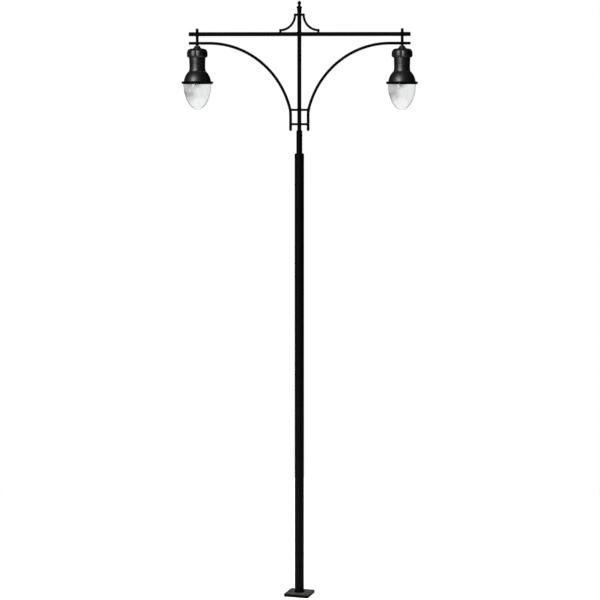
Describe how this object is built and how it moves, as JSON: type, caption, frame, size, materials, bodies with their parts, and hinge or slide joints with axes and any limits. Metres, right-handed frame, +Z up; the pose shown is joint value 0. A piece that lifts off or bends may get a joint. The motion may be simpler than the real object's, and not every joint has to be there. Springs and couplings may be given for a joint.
{
  "type": "street lamp post",
  "caption": "Tall stepped steel lamp post with opposed arms on curved brackets, each hanging a bell lantern with a hinged clear bowl, on a bolted base plate.",
  "frame": {"origin": "middle of the base plate's underside", "axes": "+Z up along the column, +X along the right-hand arm, +Y towards the side with the service door"},
  "size_m": [3.491, 0.511, 8.9],
  "materials": {
    "black_paint": "satin black powder coat on steel",
    "lantern_paint": "satin charcoal powder coat on aluminium",
    "zinc_steel": "zinc-plated sheet steel",
    "stainless": "turned stainless steel",
    "brass": "plain turned brass",
    "reflector_metal": "bright anodised",
    "porcelain": "glazed porcelain",
    "rubber": "matt black rubber",
    "grey_plastic": "moulded grey plastic",
    "insulating_board": "pressed insulating board",
    "clear_bowl": "clear blown bowl, lightly ribbed",
    "lamp_glass": "white coated lamp glass",
    "dark_plastic": "moulded black plastic",
    "ballast_paint": "black varnished steel and copper"
  },
  "bodies": {
    "post": {"base_plate": "black_paint", "lower_shaft": "black_paint", "shaft_collar": "black_paint", "bracket_sleeve": "black_paint", "sleeve_collar": "black_paint", "mast": "black_paint", "finial": "black_paint", "door_hinge_pin": "stainless", "equipment_board": "insulating_board", "breaker_box": "grey_plastic", "terminal_block": "insulating_board", "earth_stud": "brass", "left_cross_arm": "black_paint", "left_arm_cap": "black_paint", "left_curved_bracket": "black_paint", "left_bracket_stub": "black_paint", "left_lower_tie": "black_paint", "left_upper_tie": "black_paint", "left_scroll": "black_paint", "left_stem": "black_paint", "left_lantern_hub": "lantern_paint", "left_vent_cap": "lantern_paint", "left_lantern_neck": "lantern_paint", "left_canopy": "lantern_paint", "left_rim_hinge_pin": "stainless", "left_gear_tray": "zinc_steel", "left_ballast": "ballast_paint", "left_lampholder": "porcelain", "left_lamp": "lamp_glass", "left_reflector": "reflector_metal", "right_cross_arm": "black_paint", "right_arm_cap": "black_paint", "right_curved_bracket": "black_paint", "right_bracket_stub": "black_paint", "right_lower_tie": "black_paint", "right_upper_tie": "black_paint", "right_scroll": "black_paint", "right_stem": "black_paint", "right_lantern_hub": "lantern_paint", "right_vent_cap": "lantern_paint", "right_lantern_neck": "lantern_paint", "right_canopy": "lantern_paint", "right_rim_hinge_pin": "stainless", "right_gear_tray": "zinc_steel", "right_ballast": "ballast_paint", "right_lampholder": "porcelain", "right_lamp": "lamp_glass", "right_reflector": "reflector_metal"},
    "door": {"access_door": "black_paint"},
    "lock": {"door_lock": "stainless"},
    "toggle": {"breaker_toggle": "dark_plastic"},
    "left_rim": {"left_rim_ring": "black_paint", "left_bowl": "clear_bowl", "left_bowl_gasket": "rubber"},
    "left_latch": {"left_rim_latch": "black_paint"},
    "right_rim": {"right_rim_ring": "black_paint", "right_bowl": "clear_bowl", "right_bowl_gasket": "rubber"},
    "right_latch": {"right_rim_latch": "black_paint"}
  },
  "joints": [
    {"name": "access_door_hinge", "type": "hinge", "parent": "post", "child": "door", "pos_m": [-0.04778, 0.05891, 0.8], "axis": [0, 0, 1], "range_deg": [0, 120]},
    {"name": "door_lock_turn", "type": "hinge", "parent": "door", "child": "lock", "pos_m": [0.026, 0.06483, 0.8], "axis": [0.3722, 0.9281, 0], "range_deg": [0, 90]},
    {"name": "breaker_toggle_pivot", "type": "hinge", "parent": "post", "child": "toggle", "pos_m": [0, 0.038, 0.835], "axis": [1, 0, 0], "range_deg": [-60, 0]},
    {"name": "left_rim_hinge", "type": "hinge", "parent": "post", "child": "left_rim", "pos_m": [-1.508, 0.2495, 7.724], "axis": [1, 0, 0], "range_deg": [0, 90]},
    {"name": "left_latch_turn", "type": "hinge", "parent": "left_rim", "child": "left_latch", "pos_m": [-1.508, -0.2447, 7.7], "axis": [0, 0, 1], "range_deg": [0, 90]},
    {"name": "right_rim_hinge", "type": "hinge", "parent": "post", "child": "right_rim", "pos_m": [1.508, 0.2495, 7.724], "axis": [1, 0, 0], "range_deg": [0, 90]},
    {"name": "right_latch_turn", "type": "hinge", "parent": "right_rim", "child": "right_latch", "pos_m": [1.508, -0.2447, 7.7], "axis": [0, 0, 1], "range_deg": [0, 90]}
  ]
}
